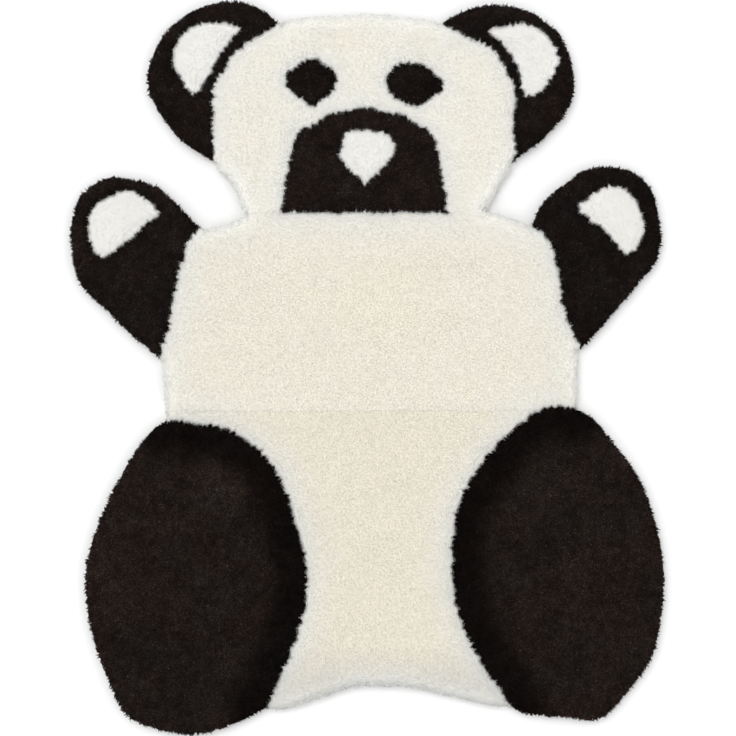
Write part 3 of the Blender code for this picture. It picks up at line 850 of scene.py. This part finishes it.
def add_stitches():
    """The overcast stitches that join the hides, on the underside."""
    rng = np.random.default_rng([SEED, 99])
    mesh, done = Mesh(), []
    for number, name in enumerate(names):
        for cut in cuts[name]:
            points, out, i, j = cut.strewn(STITCH_STEP, rng)
            for p, o, free in zip(points, out, cut.free[i] & cut.free[j]):
                if free:
                    continue
                near = all_tree.find_n((p[0], p[1], 0), 6)
                others = {int(all_owners[n]) for _, n, d in near if d < STITCH_REACH} - {number}
                if others and min(others) > number:
                    done.append((*p, *o))
    spots = np.array(done)
    p, o = spots[:, :2], spots[:, 2:]
    side = np.column_stack([-o[:, 1], o[:, 0]])
    n = len(p)
    stations = (
        (-0.0021, -0.0007, 0.0011),
        (-0.0008, -0.0002, 0.00036),
        (0.0008, 0.0002, 0.00036),
        (0.0021, 0.0007, 0.0011),
    )
    rings = []
    along = unit(np.column_stack([o * 0.0021 + side * 0.0007, np.zeros(n)]))
    across = np.column_stack([-along[:, 1], along[:, 0], np.zeros(n)])
    for reach, slip, height in stations:
        centre = np.column_stack([p + o * reach + side * slip, np.full(n, height)])
        for turn in (0, 90, 180, 270):
            a = math.radians(turn)
            spoke = math.cos(a) * across + math.sin(a) * np.array([0, 0, 1])
            rings.append(centre + STITCH_RADIUS * spoke)
    points = np.stack(rings, axis=1)
    faces = []
    for s in range(3):
        for k in range(4):
            a, b = 4 * s + k, 4 * s + (k + 1) % 4
            faces += [(a, b, b + 4), (a, b + 4, a + 4)]
    faces += [(0, 2, 1), (0, 3, 2), (12, 13, 14), (12, 14, 15)]
    faces = np.array(faces)[None, :, ::-1] + (np.arange(n) * 16)[:, None, None]
    mesh.add(points.reshape(-1, 3), faces.reshape(-1, 3), np.zeros((16 * n, 3)))
    made = mesh.build("seam_thread", thread)
    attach(made, "root")
    return made


stitches = add_stitches()
for number, name in enumerate(names):
    wool = add_wool(name, number)
    add_hide(name, number)

# The floor, the light and the camera.
PHOTO_SPAN = 736 * 0.00123
CAMERA_HEIGHT = 5.0
RIM_HEIGHT = 0.012
CAMERA_X = 0.0012
FLOOR_COLOUR = (0.93, 0.93, 0.93, 1)
SKY_STRENGTH = 1.02
SUN_ENERGY = 0.85
SUN_ANGLE = math.radians(30)
SUN_PLACE = (-0.6, 0.8, 3.0)

floor_mesh = bpy.data.meshes.new("floor")
floor_mesh.from_pydata([(-8, -8, 0), (8, -8, 0), (8, 8, 0), (-8, 8, 0)], [], [(0, 1, 2, 3)])
floor = bpy.data.objects.new("floor", floor_mesh)
bpy.context.scene.collection.objects.link(floor)
floor_material = bpy.data.materials.new("floor")
floor_material.use_nodes = True
floor_shader = floor_material.node_tree.nodes["Principled BSDF"]
floor_shader.inputs["Base Color"].default_value = FLOOR_COLOUR
floor_shader.inputs["Roughness"].default_value = 0.9
floor_shader.inputs["Specular IOR Level"].default_value = 0.1
floor_mesh.materials.append(floor_material)

world = bpy.data.worlds.new("studio")
world.use_nodes = True
world.node_tree.nodes["Background"].inputs["Color"].default_value = (1, 1, 1, 1)
world.node_tree.nodes["Background"].inputs["Strength"].default_value = SKY_STRENGTH
bpy.context.scene.world = world
light_data = bpy.data.lights.new("overhead", "SUN")
light_data.energy = SUN_ENERGY
light_data.angle = SUN_ANGLE
light = bpy.data.objects.new("overhead", light_data)
light.location = SUN_PLACE
light.rotation_euler = (-light.location).to_track_quat("-Z", "Y").to_euler()
bpy.context.scene.collection.objects.link(light)

camera_data = bpy.data.cameras.new("camera")
camera_data.sensor_width = 36
camera_data.lens = 36 * (CAMERA_HEIGHT - RIM_HEIGHT) / PHOTO_SPAN
camera = bpy.data.objects.new("camera", camera_data)
camera.location = (CAMERA_X, 0, CAMERA_HEIGHT)
bpy.context.scene.collection.objects.link(camera)
bpy.context.scene.camera = camera
bpy.context.scene.view_settings.view_transform = "Standard"

bpy.context.view_layer.update()
